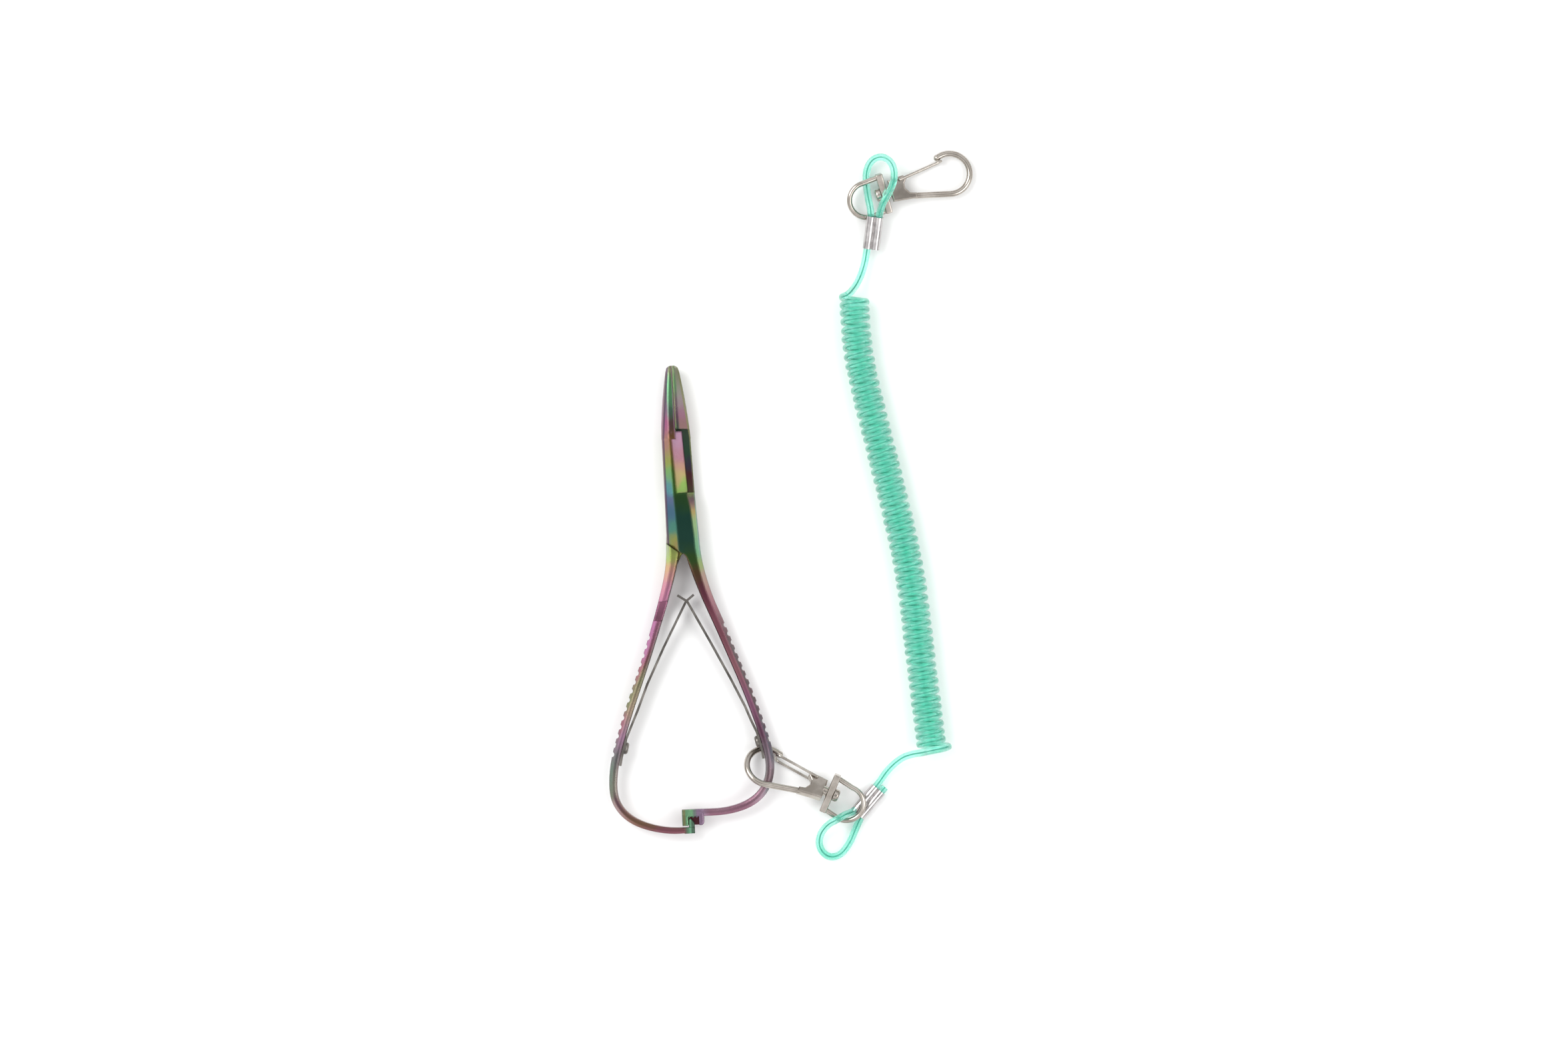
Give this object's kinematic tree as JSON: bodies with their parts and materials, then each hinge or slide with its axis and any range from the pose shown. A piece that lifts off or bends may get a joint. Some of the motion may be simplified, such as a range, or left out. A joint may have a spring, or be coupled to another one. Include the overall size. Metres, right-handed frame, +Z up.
{
  "type": "fishing pliers",
  "caption": "Locking scissor-type clamp with ratchet catch and crossed leaf springs, on a coiled lanyard with swivel snap hooks.",
  "frame": {"origin": "centre of the clamp's footprint on the table, lanyard left out", "axes": "+Y from the ratchet end to the jaw tips, +Z up out of the table"},
  "size_m": [0.1176, 0.2109, 0.0092],
  "materials": {
    "coated_steel": "iridescent coating",
    "spring_steel": "satin",
    "nickel_plate": "bright",
    "crimp_aluminium": "bright",
    "cord_jacket": "translucent"
  },
  "bodies": {
    "front_half": {"front_half": "coated_steel", "pivot_screw": "coated_steel", "right_spring_rivet": "spring_steel", "right_spring_root": "spring_steel"},
    "back_half": {"back_half": "coated_steel", "left_spring_rivet": "spring_steel", "left_spring_root": "spring_steel"},
    "left_leaf": {"left_leaf_spring": "spring_steel"},
    "right_leaf": {"right_leaf_spring": "spring_steel"},
    "lower_hook": {"lower_hook_body": "nickel_plate", "lower_swivel_rivet": "nickel_plate"},
    "lower_gate": {"lower_gate": "nickel_plate"},
    "lanyard": {"lower_ring": "nickel_plate", "lower_ferrule": "crimp_aluminium", "lower_cord": "cord_jacket", "coil": "cord_jacket", "upper_cord": "cord_jacket", "upper_ferrule": "crimp_aluminium", "upper_ring": "nickel_plate"},
    "upper_hook": {"upper_hook_body": "nickel_plate", "upper_swivel_rivet": "nickel_plate"},
    "upper_gate": {"upper_gate": "nickel_plate"}
  },
  "joints": [
    {"name": "jaw_pivot", "type": "hinge", "parent": "front_half", "child": "back_half", "pos_m": [0.00059, 0.024, 0.0043], "axis": [0, 0, -1], "range_deg": [0, 22]},
    {"name": "left_leaf_flex", "type": "hinge", "parent": "back_half", "child": "left_leaf", "pos_m": [-0.01907, -0.04081, 0.0043], "axis": [0, 0, -1], "range_deg": [0, 9]},
    {"name": "right_leaf_flex", "type": "hinge", "parent": "front_half", "child": "right_leaf", "pos_m": [0.02002, -0.04071, 0.0043], "axis": [0, 0, 1], "range_deg": [0, 9]},
    {"name": "hook_swing", "type": "hinge", "parent": "front_half", "child": "lower_hook", "pos_m": [0.0234, -0.0495, 0.0043], "axis": [0, -1, 0], "range_deg": [0, 6]},
    {"name": "lower_gate", "type": "hinge", "parent": "lower_hook", "child": "lower_gate", "pos_m": [0.03694, -0.05572, 0.00292], "axis": [0.2334, 0.4893, 0.8403], "range_deg": [0, 3]},
    {"name": "lanyard_swivel", "type": "hinge", "parent": "lower_hook", "child": "lanyard", "pos_m": [0.038, -0.0586, 0.0043], "axis": [-0.9026, 0.4305, 0], "continuous": true},
    {"name": "upper_swivel", "type": "hinge", "parent": "lanyard", "child": "upper_hook", "pos_m": [0.0692, 0.1193, 0.003], "axis": [0.969, 0.2416, -0.0523], "range_deg": [-30, 10]},
    {"name": "upper_gate", "type": "hinge", "parent": "upper_hook", "child": "upper_gate", "pos_m": [0.07071, 0.12231, 0.00288], "axis": [-0.0508, -0.0127, -0.9986], "range_deg": [0, 25]}
  ],
  "couplings": [
    {"joint": "left_leaf_flex", "follows": "jaw_pivot", "ratio": 0.33},
    {"joint": "right_leaf_flex", "follows": "jaw_pivot", "ratio": 0.33}
  ]
}
